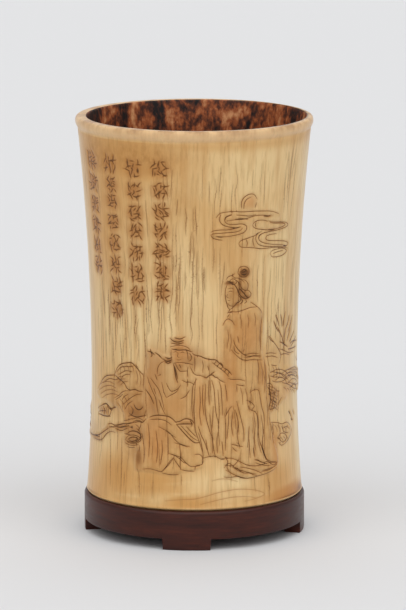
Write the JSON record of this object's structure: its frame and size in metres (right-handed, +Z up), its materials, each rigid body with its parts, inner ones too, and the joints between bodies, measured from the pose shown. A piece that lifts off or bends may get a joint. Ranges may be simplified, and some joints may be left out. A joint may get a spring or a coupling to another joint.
{
  "type": "ivory brush pot",
  "caption": "Tall waisted ivory brush pot with a rolled lip and a low carved garden scene, standing in a recessed dark wood ring on bracket feet.",
  "frame": {"origin": "centre of the stand, on the ground under its feet", "axes": "+Z up along the pot, -Y towards the carved front, +X to the right of someone facing it"},
  "size_m": [0.0954, 0.0954, 0.1687],
  "materials": {
    "brush_pot": "satin, aged to honey, cut lines stained brown, inside stained dark",
    "wooden_stand": "waxed dark hardwood"
  },
  "bodies": {
    "root": {"brush_pot": "brush_pot", "wooden_stand": "wooden_stand"}
  },
  "joints": []
}
